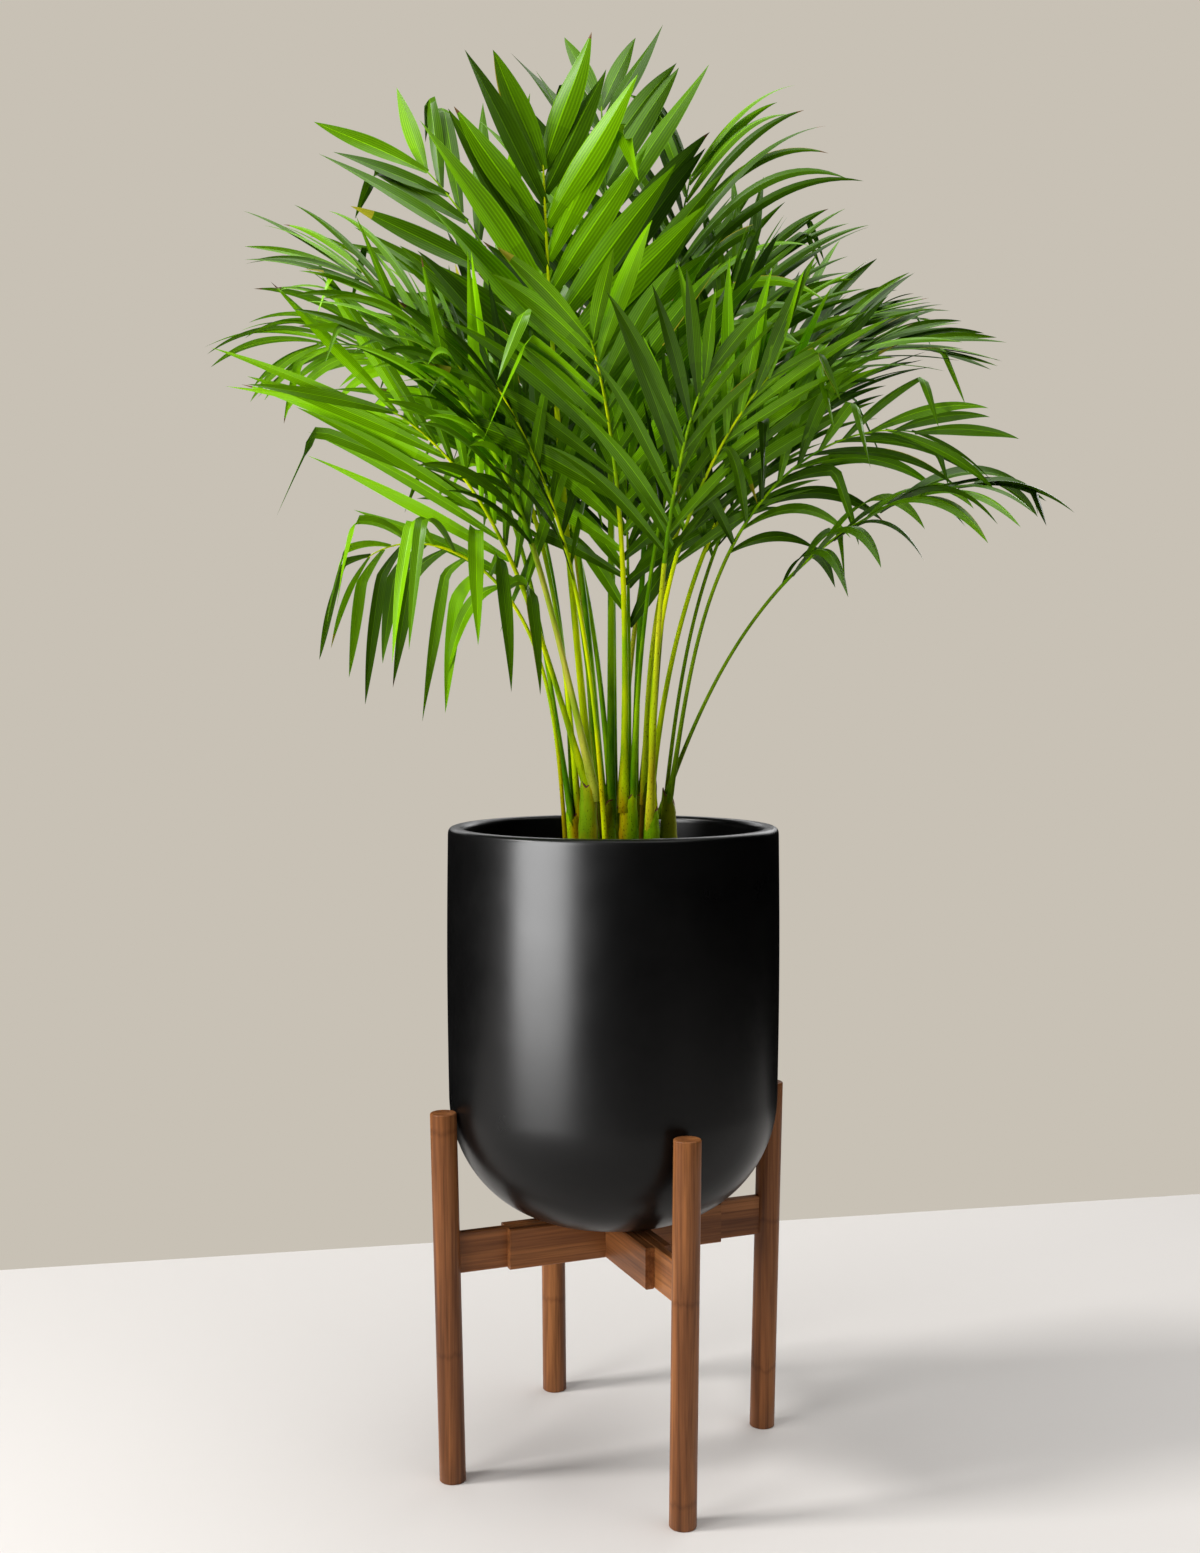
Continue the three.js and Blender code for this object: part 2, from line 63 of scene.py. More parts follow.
# Lengths below are millimetres unless a comment says otherwise, and scene units are metres.
MM = 0.001
POT_LOW, POT_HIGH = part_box("pot")
AXIS = Vector(((POT_LOW.x + POT_HIGH.x) / 2, (POT_LOW.y + POT_HIGH.y) / 2, 0))
UP = Vector((0, 0, 1))

# Camera in the photograph: distance from the pot's axis, height, angles in degrees, lens and sensor.
CAMERA_BACK = 1586.7
CAMERA_HEIGHT = 715.3
CAMERA_PITCH = 2.84
CAMERA_YAW = 0.442
CAMERA_LENS = 39.84
CAMERA_SENSOR = 36

# The pot: a straight side with a soft bulge, and a rounded underside with a flat foot.
POT_RADIUS = 152.5
POT_BULGE = 1.2
POT_WALL = 15
RIM_TOP = 591
RIM_ROUND = 7
SIDE_FOOT = 344
POT_FOOT = 228
FOOT_FLAT = 42
SOIL_TOP = 548
GAP = 0.3
# A power under 1 makes the rim's section squarer than a half circle.
RIM_SQUARE = 0.7
# Steps round the pot, along its outer and inner underside, and over its rim.
POT_TURNS = 144
OUTER_STEPS = 36
INNER_STEPS = 18
RIM_STEPS = 16

# The soil: steps round it, along its underside and over its top.
SOIL_TURNS = 96
SOIL_STEPS = 12
SOIL_RINGS = 26
# How far its side stops below its top, how wide its level edge is, and over what width the bumps start.
SOIL_SHOULDER = 2
SOIL_EDGE = 3
SOIL_RISE = 15
# Broad and fine bumps: waves to a millimetre, place in the noise and height. Then what all sinks by.
SOIL_BUMPS = ((0.03, 0, 5), (0.16, 5, 2.5))
SOIL_SUNK = 2

# Loose chips of bark: how many, furthest from the axis, sizes, height on the soil and turn in radians.
CHIP_COUNT = 420
CHIP_REACH = 128
CHIP_SIZES = (1.8, 5.5)
CHIP_LIFT = 0.6
CHIP_TURN = 6.3
# A chip's corners in half sizes, how chance changes its length, its width and thickness, and its faces.
CHIP_CORNERS = (
    (-1, -1, -1), (1, -0.7, -1), (0.8, 1, -1), (-0.9, 0.8, -1),
    (-0.7, -0.8, 1), (0.9, -1, 1), (0.6, 0.9, 1), (-1, 1, 1),
)
CHIP_LENGTHS = (0.8, 1.2)
CHIP_WIDTH = 0.6
CHIP_THICK = 0.3
CHIP_FACES = ((0, 3, 2, 1), (4, 5, 6, 7), (0, 1, 5, 4), (1, 2, 6, 5), (2, 3, 7, 6), (3, 0, 4, 7))

# The stand's legs lean out a little, and their ends are eased.
LEG_RADIUS = 12
LEG_HEIGHT = 337.8
LEG_CIRCLE = 157.3
LEG_SPLAY = 7.5
LEG_EDGE = 1.5
LEG_FOOT_EDGE = 0.8
LEG_SIDES = 48
LEG_RINGS = 12
LEG_EDGE_STEPS = 4
LEG_TURNS = {"right": 22.4, "back": 112.4, "left": 202.4, "front": 292.4}
# Heights of the bamboo's knuckles on each leg, and how far their lines waver, in metres.
LEG_KNUCKLES = {"right": (205, 60), "back": (222, 95), "left": (322, 120), "front": (198, 22)}
KNUCKLE_WAVER = 0.022
# The planks of each beam, and the leg that its grain runs to.
BEAMS = {
    "long": ("right", ("rail_long_near", "rail_long_far", "slider_right", "slider_left")),
    "cross": ("back", ("rail_cross_near", "rail_cross_far", "slider_back", "slider_front")),
}

# Canes: x, y, radius, top, seats, turn of the first seat. Those without a radius are places in the soil.
CANES = [
    (-23, -14, 8, 640, 3, 65),
    (14, -20, 8, 630, 3, 210),
    (33, 4, 8, 636, 3, -50),
    (51, -8, 7, 622, 2, -70),
    (-6, 20, 7.5, 616, 2, 20),
    (22, 32, 7.5, 620, 3, -10),
    (-37, 9, 7.5, 612, 3, 100),
    (35, -25, 7, 610, 2, -110),
    (2, 47, 8, 606, 3, -20),
    (-41, -28, 0, SOIL_TOP, 1, 0),
    (-8, -2, 0, SOIL_TOP, 1, 0),
    (-5, -32, 0, SOIL_TOP, 1, 0),
    (42, 18, 0, SOIL_TOP, 1, 0),
    (-14, 42, 0, SOIL_TOP, 1, 0),
]
# Distance of the seats from a cane's middle, by how many seats it has.
SEAT_RADIUS = {1: 0, 2: 3.9, 3: 4.5}

# Fronds. Angles are degrees, lengths are millimetres, and bare is the share without leaflets.
FROND_KEYS = (
    "name", "cane", "seat", "turn", "lean", "arch", "bend", "length", "bare", "leaf", "width",
    "pairs", "roll", "droop", "lift", "spread",
)
FRONDS = [
    ("front_centre", 1, 0, -104, -3, 60, 1.9, 416, 0.44, 190, 18, 11, -8, 0.45, 15, 0.85),
    ("crown_centre", 0, 0, 165, 6, -4, 1.8, 555, 0.5, 185, 24, 10, 68, 0.05, 12, 0.78),
    ("crown_back", 4, 0, 96, -1, 30, 2.4, 680, 0.55, 170, 20, 10, 0, 0.15, 14, 0.72),
    ("top_right", 5, 2, 50, 3, 16, 2.0, 600, 0.56, 190, 14, 8, -20, 1.1, 20, 0.8),
    ("upper_right", 2, 1, 35, 4, 28, 1.8, 510, 0.55, 160, 13, 10, -40, 0.6, 20, 0.7),
    ("right_high", 5, 0, 20, 5, 70, 2.6, 535, 0.55, 155, 13, 10, -40, 0.4, 20, 0.7),
    ("right_long", 2, 2, 6, 2, 90, 2.0, 525, 0.55, 150, 13, 11, -35, 0.5, 15, 0.7),
    ("right_low", 3, 1, -10, 21, 66, 1.7, 417, 0.53, 138, 14, 9, -10, 1.6, 22, 0.62),
    ("right_front", 3, 0, -20, 9, 95, 2.5, 435, 0.52, 142, 13, 10, 30, 0.9, 10, 0.75),
    ("right_inner", 2, 0, -30, 9, 43, 1.7, 390, 0.54, 165, 16, 9, 10, 0.4, 15, 0.6),
    ("front_right", 7, 1, -50, -4, 59, 1.3, 415, 0.54, 170, 17, 9, 30, 0.4, 15, 0.6),
    ("front_mid", 7, 0, -72, 6, 50, 2.4, 400, 0.56, 165, 17, 8, 0, 0.4, 15, 0.6),
    ("back_right", 5, 1, 70, 3, 30, 1.6, 550, 0.5, 170, 17, 9, 0, 0.4, 15, 0.7),
    ("left_long", 0, 1, 190, 17, 43, 2.9, 375, 0.47, 218, 14, 10, -65, 0.2, 0, 0.54),
    ("left_high", 6, 1, 172, 9, 84, 3.0, 535, 0.52, 165, 13, 10, -20, 1.2, 10, 0.75),
    ("left_back", 6, 0, 140, 3, 48, 1.8, 495, 0.5, 165, 14, 10, 45, 0.4, 10, 0.7),
    ("left_low", 9, 0, 186, 4, 122, 3.0, 405, 0.66, 172, 13, 8, -30, 2.4, 0, 1.25),
    ("top_left", 4, 1, 156, 5, 40, 2.2, 645, 0.52, 185, 17, 10, 60, 0.15, 5, 0.72),
    ("upper_left", 6, 2, 196, 5, 60, 2.2, 540, 0.5, 170, 12, 10, 35, 0.7, 5, 0.75),
    ("back_upright", 8, 1, 92, 6, 66, 1.9, 560, 0.48, 165, 16, 9, 0, 0.5, 15, 0.7),
    ("back_arching", 8, 0, 62, 8, 88, 2.2, 530, 0.5, 155, 15, 9, 15, 0.5, 15, 0.75),
    ("back_left", 8, 2, 122, 9, 84, 2.1, 550, 0.5, 155, 15, 9, -15, 0.5, 15, 0.75),
    ("front_left", 0, 2, -160, 14, 48, 3.2, 430, 0.5, 160, 12, 10, 45, 0.5, 5, 0.7),
    ("inner_right", 1, 1, -30, 3, 30, 1.8, 430, 0.55, 150, 16, 8, -20, 0.4, 20, 0.55),
    ("young", 1, 2, -100, -2, 14, 1.5, 290, 0.5, 110, 18, 5, 0, 0.3, 10, 0.55),
    ("inner_left", 10, 0, 158, 4, 30, 2.0, 540, 0.6, 150, 12, 7, 30, 0.4, 15, 0.6),
    ("inner_front", 11, 0, 200, 4, 30, 2.2, 450, 0.6, 140, 13, 7, 50, 0.4, 15, 0.6),
    ("outer_right", 12, 0, 15, 6, 50, 2.4, 500, 0.6, 145, 12, 7, -30, 0.5, 15, 0.65),
    ("inner_back", 13, 0, 120, 5, 40, 2.2, 540, 0.6, 150, 14, 7, 0, 0.5, 15, 0.65),
]

# Looks of each frond: tone from 0, bright, to 6, dark; leaflet width against the table above;
# whether more leaflets stand between the main ones; and the colour and stoutness of its petiole.
# The tones are partly each frond's own colour and partly painted shade: the inner and back fronds get darker
# tones for the shade deep in the crown.
FROND_LOOKS = {
    "front_centre": (1.9, 0.92, False, "lime", 1.0),
    "crown_centre": (1.6, 1.15, False, "lime", 1.1),
    "crown_back": (2.6, 1.05, False, "green", 1.0),
    "top_right": (2.6, 0.8, True, "green", 0.9),
    "upper_right": (2.5, 0.78, True, "olive", 0.8),
    "right_high": (2.6, 0.72, True, "green", 0.8),
    "right_long": (2.8, 0.72, True, "yellow", 0.8),
    "right_low": (2.7, 1.15, False, "dark", 0.6),
    "right_front": (2.8, 0.9, False, "dark", 0.65),
    "right_inner": (2.1, 0.75, False, "lime", 0.8),
    "front_right": (1.8, 0.75, False, "lime", 0.8),
    "front_mid": (2.1, 0.75, False, "yellow", 0.85),
    "back_right": (3.8, 0.8, True, "green", 0.8),
    "left_long": (0.7, 0.9, False, "lime", 0.9),
    "left_high": (0.8, 0.74, True, "green", 0.75),
    "left_back": (1.3, 0.78, True, "green", 0.7),
    "left_low": (1.2, 1.0, False, "lime", 0.65),
    "top_left": (1.4, 1.05, False, "green", 0.9),
    "upper_left": (1.0, 0.76, True, "lime", 0.8),
    "back_upright": (4.2, 0.8, True, "green", 0.8),
    "back_arching": (3.8, 0.8, True, "olive", 0.8),
    "back_left": (3.6, 0.8, True, "green", 0.8),
    "front_left": (1.5, 0.9, False, "tan", 1.0),
    "inner_right": (4.2, 0.75, False, "green", 0.7),
    "young": (2.4, 0.8, False, "green", 0.7),
    "inner_left": (2.4, 0.8, True, "green", 0.7),
    "inner_front": (3.4, 0.8, False, "lime", 0.7),
    "outer_right": (3.4, 0.8, True, "dark", 0.65),
    "inner_back": (4.2, 0.8, True, "olive", 0.8),
}

# Leaf colours run from bright to dark in even steps. The last two are the yellowed and browned ones.
LEAF_BRIGHT = (0.290, 0.680, 0.001)
LEAF_DARK = (0.015, 0.043, 0.001)
LEAF_TONES = 15
DARKEST = 6
YELLOWED = (0.420, 0.400, 0.020)
BROWNED = (0.170, 0.090, 0.030)
# In tones: how much leaflets differ by chance, and how much a midrib and every other strip do.
TONE_RANGE = 1.7
MIDRIB_PALER = 1.1
STRIP_DARKER = 0.8
# Painted shade darkens a leaflet's root too, up to a share of the length, where the leaflets crowd at the
# rib.
ROOT_PAINTED_SHADE = 0.7
ROOT_SHADE_TO = 0.3
# Chances of a brown tip, a yellow tip and a yellow edge, and the shares from which the yellow shows.
BROWN_TIPS = 0.08
YELLOW_TIPS = 0.03
YELLOW_EDGES = 0.04
YELLOW_TIP_FROM = 0.82
YELLOW_EDGE_FROM = 0.4

# A leaflet is a low roof with fine pleats along it. Heights are in half widths.
LEAF_STRIPS = 17
LEAF_ROOF = 0.30
LEAF_PLEAT = 0.035
LEAF_STEPS = 20
# Its width: the share at which it is widest, the share from which it tapers, and its root's width.
LEAF_WIDEST = 0.45
LEAF_TAPER = 0.48
LEAF_ROOT = 0.34
# Most twist in degrees, and the widths by chance.
LEAF_TWIST = 60
LEAF_WIDTHS = (0.88, 1.1)
# The roof is steeper at the root, and loses that within a third of the length.
ROOT_FOLD = 1.7
FOLD_LOSS = 0.8
FOLD_RATE = 3
# It sways sideways: share of the half width, and radians of the wave.
LEAF_SWAY = 0.04
SWAY_WAVE = 7
# Share of the leaflets that fold over and hang, how near their root they do, and how sharply.
KINKED = {"left_low": 0.8}
KINKED_SHARE = 0.1
KINK_FROM = {"left_low": 0.16}
KINK_NEAREST = 0.42
KINK_RANGE = 0.28
KINK_DROP = 2.2
KINK_SPAN = 0.08
# The last pair's share of the leafy rib, and how much later each right leaflet stands, in pairs.
LAST_PAIR = 0.985
RIGHT_LATER = 0.4
# A leaflet's root: its share of the rib's radius, and how deep it is sunk.
ROOT_OUT = 0.9
ROOT_SUNK = 1.5
# The lowest and the last leaflets of a frond are shorter and narrower, and leaflets open less to its tip.
LOW_SHORTER = 0.15
LOW_SHARE = 0.35
TIP_SHORTER = 0.38
WIDTH_LEAST = 0.7
WIDTH_BY_SIZE = 0.3
OPEN_FOOT = 64
OPEN_FALL = 35
# What chance adds to a leaflet's least length, and to its opening and lift in degrees.
LENGTH_LEAST = 0.86
LENGTH_CHANCE = 0.28
OPEN_CHANCE = 12
LIFT_CHANCE = 20
# Lift and droop grow less to the frond's tip. Droop is stronger than the table's, and chance adds to it.
LIFT_FALL = 0.4
DROOP_SCALE = 1.1
DROOP_LEAST = 0.9
DROOP_CHANCE = 0.4
DROOP_FALL = 0.5
# Numbers of the simple chance generator that the part's source uses too.
CHANCE_FACTOR = 1664525
CHANCE_ADDED = 1013904223
CHANCE_RANGE = 2**32

# Petioles and ribs. A petiole swells at its foot and is flatter above, and a rib has a ridge there.
RIB_STEPS = 56
RIB_SIDES = 10
PETIOLE_RADIUS = 3.8
RIB_RADIUS = 2.5
TIP_RADIUS = 0.8
FOOT_SWELL = 1.5
FOOT_REACH = 28
PETIOLE_SUNK = 26
PETIOLE_FLAT = 0.28
RIB_RIDGE = 0.22

# Colours of petioles: where they are light and where they are dark, and whether specks run all along.
STEM_COLORS = {
    "lime": ((0.78, 0.90, 0.002), (0.24, 0.48, 0.002), False),
    "green": ((0.30, 0.56, 0.002), (0.06, 0.20, 0.002), False),
    "olive": ((0.34, 0.36, 0.010), (0.10, 0.17, 0.006), True),
    "yellow": ((0.72, 0.74, 0.020), (0.46, 0.60, 0.006), True),
    "dark": ((0.220, 0.380, 0.006), (0.120, 0.250, 0.005), False),
    "tan": ((0.62, 0.60, 0.070), (0.24, 0.44, 0.006), False),
    "gold": ((0.62, 0.42, 0.010), (0.25, 0.45, 0.006), True),
    "scar": ((0.24, 0.110, 0.040), (0.09, 0.040, 0.022), False),
}
# Sheaths of the canes: colour, and the heading of the tongue at the mouth, in degrees.
CANE_LOOKS = [
    ("gold", 75), ("lime", 85), ("olive", 20), ("olive", 170), ("green", 40), ("green", 200),
    ("lime", 100), ("green", 60), ("olive", -20),
]
# The mouth: the tongue's rise, the dip across from it, how far it is below the cane's top, and its lip.
SHEATH_TONGUE = 7
SHEATH_DIP = 10
SHEATH_SHORT = 3
SHEATH_LIP = 1.4
SHEATH_LIP_IN = 0.9
# The sheath narrows to its mouth, flares at the soil, and has low rings round it.
SHEATH_TAPER = 0.16
SHEATH_FLARE = 2
SHEATH_RINGS = 5
SHEATH_RING_HIGH = 0.5
CANE_SIDES = 28
CANE_STEPS = 18
CANE_SUNK = 4
# Depth of the mouth's middle below the cane's top.
MOUTH_DEPTH = 9

# Colour ramps, as stops of (place, colour). The glaze has one for its roughness too.
WHITE = (1, 1, 1)
GLAZE_COLORS = [(0.3, (0.0014, 0.0014, 0.0015)), (0.7, (0.0026, 0.0025, 0.0025))]
GLAZE_ROUGHNESS = [(0.3, (0.27,) * 3), (0.7, (0.33,) * 3)]
SOIL_COLORS = [(0.3, (0.006, 0.004, 0.003)), (0.55, (0.028, 0.017, 0.010)), (0.75, (0.075, 0.048, 0.028))]
WOOD_COLORS = [(0.3, (0.125, 0.043, 0.014)), (0.5, (0.250, 0.091, 0.029)), (0.72, (0.400, 0.160, 0.051))]
WOOD_LINES = [(0.32, (0.50, 0.46, 0.42)), (0.52, (0.92,) * 3), (0.7, (1.15,) * 3)]
STEM_STREAKS = [(0.35, (0.7,) * 3), (0.55, WHITE)]
STEM_SPECKS = [(0.34, (0.22, 0.14, 0.08)), (0.39, WHITE)]
STEM_RUST = [(0.48, WHITE), (0.56, (0.75, 0.34, 0.55))]
# The knuckle's stops are distances from its line, in metres.
KNUCKLE_COLORS = [(0, (0.5, 0.44, 0.4)), (0.001, (0.6, 0.54, 0.5)), (0.003, (0.98,) * 3), (0.02, WHITE)]
# Wood grain: how fine it is across and along, for the broad drift and for the fine lines.
BROAD_GRAIN = (60, 3)
FINE_GRAIN = (420, 9)
# Heights in metres below which stems have all their specks and rust, and above which they have none.
SPECKS_LOW = (0.62, 0.69)
RUST_LOW = (0.60, 0.68)
LOW_MOST = 0.9

# The stage: the floor's edges in metres, its far edge's middle and slope, and the colours.
FLOOR_NEAR = -1.5
FLOOR_LEFT = -5.0
FLOOR_RIGHT = 1.5
FLOOR_FAR = 0.66
FLOOR_SLOPE = 0.21
FLOOR_COLOR = (0.715, 0.690, 0.670)
WALL_COLOR = (0.577, 0.533, 0.462)

# Lights: azimuth in degrees to the left of the camera; distance, height and height aimed at, in metres;
# width and height in metres, power in watts, and colour.
WARM = (1.0, 0.99, 0.975)
WARMER = (1.0, 0.985, 0.965)
LIGHTS = {
    "side": (76, 5.5, 5.2, 0.2, (1.4, 1.4), 345, WARMER),
    "above": (-90, 0.4, 3.8, 0.8, (3.4, 3.4), 120, WARM),
    "front": (50, 1.9, 0.7, 0.65, (0.8, 0.8), 23, WARM),
    "right": (-70, 2.6, 0.9, 0.95, (1.4, 1.4), 6, WHITE),
    "behind": (205, 2.6, 1.8, 0.9, (1.2, 1.6), 10, WHITE),
    "back": (222, 2.4, 1.6, 1.0, (1.4, 1.4), 38, WHITE),
    "gloss": (47, 1.6, 1.1, 1.1, (1.1, 2.0), 190, WHITE),
    "rim": (180, 3.0, 1.7, 0.6, (4.0, 0.8), 20, WHITE),
}
# Starts of the names of the plant's pieces, which the light named back reaches.
PLANT_PIECES = ("leaflets_", "petioles_", "cane_sheaths")


# Materials

def new_material(name, color, roughness, specular):
    """A plain material and its shader."""
    material = bpy.data.materials.new(name)
    material.use_nodes = True
    shader = material.node_tree.nodes["Principled BSDF"]
    shader.inputs["Base Color"].default_value = (*color, 1)
    shader.inputs["Roughness"].default_value = roughness
    shader.inputs["Specular IOR Level"].default_value = specular
    return material, shader


def add_node(material, kind, **values):
    """A shader node with some of its input values set."""
    node = material.node_tree.nodes.new(kind)
    for key, value in values.items():
        node.inputs[key].default_value = value
    return node


def feed(material, socket, value):
    """Sets a socket to a number, or links another node's output to it."""
    if isinstance(value, (int, float)):
        socket.default_value = value
    else:
        material.node_tree.links.new(value, socket)


def stretched_noise(material, stretch=(1, 1, 1), turn=0, size=1.0, detail=6, roughness=0.6):
    """Noise over the object's own coordinates, turned about Z by degrees, then stretched."""
    place = add_node(material, "ShaderNodeTexCoord")
    turned = add_node(material, "ShaderNodeMapping", Rotation=(0, 0, -math.radians(turn)))
    scaled = add_node(material, "ShaderNodeMapping", Scale=stretch)
    pattern = add_node(material, "ShaderNodeTexNoise", Scale=size, Detail=detail, Roughness=roughness)
    feed(material, turned.inputs["Vector"], place.outputs["Object"])
    feed(material, scaled.inputs["Vector"], turned.outputs["Vector"])
    feed(material, pattern.inputs["Vector"], scaled.outputs["Vector"])
    return pattern.outputs["Fac"]


def ramp(material, source, stops):
    """A colour ramp over a value. Stops are (place, colour)."""
    node = add_node(material, "ShaderNodeValToRGB")
    elements = node.color_ramp.elements
    while len(elements) < len(stops):
        elements.new(0.5)
    for element, (place, color) in zip(elements, stops):
        element.position = place
        element.color = (*color, 1)
    feed(material, node.inputs["Fac"], source)
    return node.outputs["Color"]


def multiply(material, first, second, share):
    """Two colours multiplied, by a fixed share or by one that varies over the surface."""
    node = add_node(material, "ShaderNodeMix")
    node.data_type = "RGBA"
    node.blend_type = "MULTIPLY"
    feed(material, node.inputs["Factor"], share)
    feed(material, node.inputs[6], first)
    feed(material, node.inputs[7], second)
    return node.outputs[2]


def calculate(material, operation, *values):
    """The result of a math node on numbers or other nodes' outputs."""
    node = add_node(material, "ShaderNodeMath")
    node.operation = operation
    for socket, value in zip(node.inputs, values):
        feed(material, socket, value)
    return node.outputs[0]


def add_bump(material, shader, source, strength, depth):
    """Fine relief on a surface. Depth is in metres."""
    node = add_node(material, "ShaderNodeBump", Strength=strength, Distance=depth)
    feed(material, node.inputs["Height"], source)
    feed(material, shader.inputs["Normal"], node.outputs["Normal"])


def object_height(material):
    """Height in the object's own coordinates, in metres."""
    place = add_node(material, "ShaderNodeTexCoord")
    split = add_node(material, "ShaderNodeSeparateXYZ")
    feed(material, split.inputs["Vector"], place.outputs["Object"])
    return split.outputs["Z"]


def low_share(material, full, none):
    """LOW_MOST below a height and 0 above another, in metres."""
    return ramp(material, object_height(material), [(full, (LOW_MOST,) * 3), (none, (0,) * 3)])


def pot_material():
    """Near-black satin glaze with a faint unevenness."""
    material, shader = new_material("pot_satin_black", (0.002, 0.002, 0.002), roughness=0.3, specular=0.2)
    cloud = stretched_noise(material, size=14)
    feed(material, shader.inputs["Roughness"], ramp(material, cloud, GLAZE_ROUGHNESS))
    feed(material, shader.inputs["Base Color"], ramp(material, cloud, GLAZE_COLORS))
    grain = stretched_noise(material, size=260, detail=3)
    add_bump(material, shader, grain, strength=0.08, depth=0.0003)
    return material


def soil_material():
    """Dark damp potting mix."""
    material, shader = new_material("soil_dark", (0.02, 0.012, 0.008), roughness=0.95, specular=0.25)
    crumbs = stretched_noise(material, size=140, detail=8, roughness=0.7)
    feed(material, shader.inputs["Base Color"], ramp(material, crumbs, SOIL_COLORS))
    add_bump(material, shader, crumbs, strength=0.9, depth=0.004)
    return material


def knuckle_shade(material, height):
    """A broken dark line round a leg at a height, in metres, on white."""
    wobble = stretched_noise(material, (70, 70, 20), detail=3)
    shift = calculate(material, "MULTIPLY_ADD", wobble, KNUCKLE_WAVER, -KNUCKLE_WAVER / 2 - height)
    away = calculate(material, "ADD", object_height(material), shift)
    return ramp(material, calculate(material, "ABSOLUTE", away), KNUCKLE_COLORS)


def grain_stretch(across, along, upright):
    """Stretch of a pattern whose grain is upright, or else level."""
    return (across, across, along) if upright else (along, across, across)


def wood_material(name, turn, upright, knuckles=()):
    """Walnut-stained bamboo with its grain along a direction, and dark knuckle marks at some heights."""
    material, shader = new_material(name, (0.33, 0.12, 0.04), roughness=0.42, specular=0.25)
    broad = stretched_noise(material, grain_stretch(*BROAD_GRAIN, upright), turn, detail=4)
    fine = stretched_noise(material, grain_stretch(*FINE_GRAIN, upright), turn, detail=5)
    color = ramp(material, broad, WOOD_COLORS)
    color = multiply(material, color, ramp(material, fine, WOOD_LINES), share=0.9)
    for height in knuckles:
        color = multiply(material, color, knuckle_shade(material, height * MM), share=0.5)
    feed(material, shader.inputs["Base Color"], color)
    add_bump(material, shader, fine, strength=0.25, depth=0.0006)
    return material


def stem_material(name):
    """A smooth stem whose colour drifts along it, with rust and small dark specks at its foot.

    On some stems the specks run all along.
    """
    light, dark, speckled = STEM_COLORS[name]
    material, shader = new_material(f"stem_{name}", light, roughness=0.42, specular=0.08)
    drift = stretched_noise(material, (40, 40, 9), detail=3)
    streaks = stretched_noise(material, (110, 110, 10), detail=3)
    specks = stretched_noise(material, (1, 1, 0.45), size=900, detail=2)
    rust = stretched_noise(material, (34, 34, 7), detail=2)
    speck_share = 0.8 if speckled else low_share(material, *SPECKS_LOW)
    color = ramp(material, drift, [(0.38, light), (0.62, dark)])
    color = multiply(material, color, ramp(material, streaks, STEM_STREAKS), share=0.45)
    color = multiply(material, color, ramp(material, specks, STEM_SPECKS), speck_share)
    color = multiply(material, color, ramp(material, rust, STEM_RUST), low_share(material, *RUST_LOW))
    feed(material, shader.inputs["Base Color"], color)
    add_bump(material, shader, streaks, strength=0.2, depth=0.0004)
    return material


def leaf_materials():
    """Plain leaf colours from bright to dark, then yellowed and browned."""
    colors = []
    for i in range(LEAF_TONES):
        share = i / (LEAF_TONES - 1)
        colors.append([bright ** (1 - share) * dark**share for bright, dark in zip(LEAF_BRIGHT, LEAF_DARK)])
    colors.extend((YELLOWED, BROWNED))
    materials = []
    for i, color in enumerate(colors):
        material, _ = new_material(f"leaf_{i}", color, roughness=0.36, specular=0.17)
        materials.append(material)
    return materials


# Meshes

def add_piece(name, points, faces, materials, nodes, picks=None):
    """A smooth mesh in metres that rides on the root and stands for some CAD nodes.

    Picks are the faces' material numbers.
    """
    mesh = bpy.data.meshes.new(name)
    mesh.from_pydata([tuple(point) for point in points], [], faces)
    for material in materials:
        mesh.materials.append(material)
    if picks:
        mesh.polygons.foreach_set("material_index", picks)
    mesh.polygons.foreach_set("use_smooth", [True] * len(faces))
    mesh.update()
    piece = bpy.data.objects.new(name, mesh)
    bpy.context.collection.objects.link(piece)
    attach(piece, "root")
    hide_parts(*nodes)


def ring_faces(first, second, count):
    """Quads between two rings of as many corners."""
    return [
        (first + k, first + (k + 1) % count, second + (k + 1) % count, second + k)
        for k in range(count)
    ]


def turned_mesh(profile, turns, relief=None):
    """Points and faces of a profile of (radius, height) turned about the vertical axis.

    The profile starts and ends on the axis. Relief adds to a point's height.
    """
    points = []
    faces = []
    for radius, height in profile[1:-1]:
        for k in range(turns):
            turn = 2 * math.pi * k / turns
            x, y = radius * math.cos(turn), radius * math.sin(turn)
            lift = relief(x, y, height) if relief else 0
            points.append(Vector((x, y, height + lift)))
    rings = len(profile) - 2
    for i in range(rings - 1):
        faces.extend(ring_faces(i * turns, (i + 1) * turns, turns))
    for end, ring, forward in ((profile[0], 0, False), (profile[-1], rings - 1, True)):
        middle = len(points)
        lift = relief(0, 0, end[1]) if relief else 0
        points.append(Vector((0, 0, end[1] + lift)))
        for k in range(turns):
            one, other = ring * turns + k, ring * turns + (k + 1) % turns
            faces.append((one, other, middle) if forward else (other, one, middle))
    return points, faces


def on_axis(points):
    """Millimetre points about the pot's axis as metre points in the part's frame."""
    return [AXIS + point * MM for point in points]


# Pot and soil

def pot_radius(height, offset):
    """Radius of the pot's side at a height, drawn in by an offset."""
    reach = POT_RADIUS - offset
    if height >= SIDE_FOOT:
        share = (height - SIDE_FOOT) / (RIM_TOP - SIDE_FOOT)
        return reach + POT_BULGE * math.sin(math.pi * share)
    share = min(1, (SIDE_FOOT - height) / (SIDE_FOOT - POT_FOOT - offset))
    return FOOT_FLAT + (reach - FOOT_FLAT) * math.sqrt(1 - share * share)


